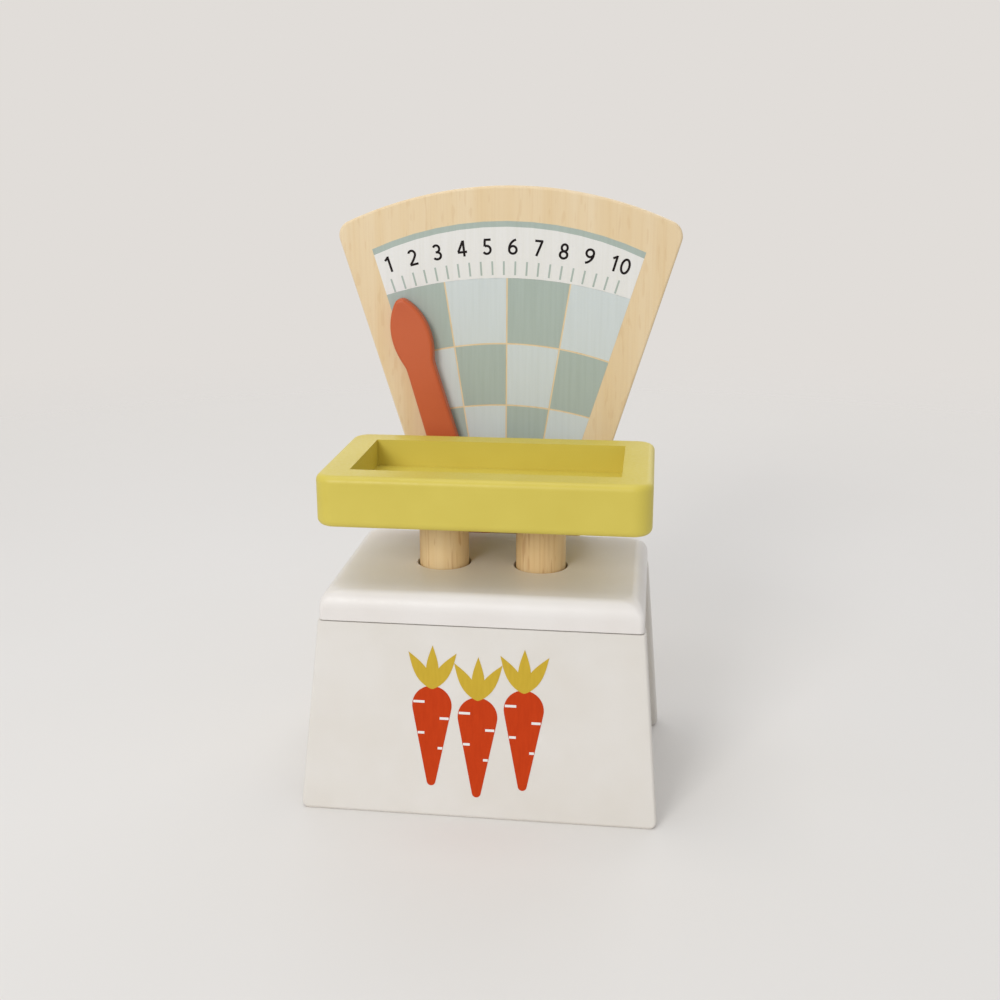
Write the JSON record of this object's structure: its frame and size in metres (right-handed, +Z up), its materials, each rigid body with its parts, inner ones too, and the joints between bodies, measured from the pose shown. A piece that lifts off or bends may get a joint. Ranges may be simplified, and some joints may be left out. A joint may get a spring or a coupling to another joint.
{
  "type": "toy weighing scale",
  "caption": "Wooden toy weighing scale: pressing the sprung tray on its dowels swings a pointer across a fan-shaped dial board behind a tapered box.",
  "frame": {"origin": "on the floor under the middle of the whole object's box", "axes": "+X to the right of someone who faces the dial, +Y to the back, +Z up"},
  "size_m": [0.1364, 0.1108, 0.219],
  "materials": {
    "white_paint": "satin paint",
    "plywood": "bare",
    "beech": "matt lacquer",
    "lime_paint": "satin paint",
    "terracotta_paint": "satin paint",
    "steel": "zinc plated"
  },
  "bodies": {
    "base": {"front_panel": "white_paint", "rear_panel": "white_paint", "left_side_panel": "white_paint", "right_side_panel": "white_paint", "lid": "white_paint", "bottom_panel": "plywood", "left_cleat": "plywood", "right_cleat": "plywood", "left_spacer": "plywood", "right_spacer": "plywood", "lower_spacer": "plywood", "dial_board": "beech", "left_spring_post": "beech", "right_spring_post": "beech", "bottom_screws": "steel", "left_spring": "steel", "right_spring": "steel", "dial_screws": "steel", "shaft_washers": "steel"},
    "tray": {"tray_front_rail": "lime_paint", "tray_rear_rail": "lime_paint", "tray_left_rail": "lime_paint", "tray_right_rail": "lime_paint", "tray_floor": "lime_paint", "left_dowel": "beech", "right_dowel": "beech", "crossbar": "plywood", "dowel_screws": "steel", "drive_plate": "plywood", "plate_screws": "steel"},
    "pointer": {"pointer": "terracotta_paint", "pointer_shaft": "steel", "shaft_cap": "steel", "crank": "plywood", "crank_peg": "beech"}
  },
  "joints": [
    {"name": "tray_press", "type": "slide", "parent": "base", "child": "tray", "axis": [0, 0, -1], "range_m": [0, 0.012], "stiffness_N_per_m": 400, "springref_m": -0.006, "deforming": ["left_spring", "right_spring"]},
    {"name": "pointer_swing", "type": "hinge", "parent": "base", "child": "pointer", "pos_m": [0, 0.0405, 0.03], "axis": [0, 1, 0], "range_deg": [0, 32.2]}
  ],
  "couplings": [
    {"joint": "pointer_swing", "follows": "tray_press", "rad_per_m": 46.833}
  ]
}
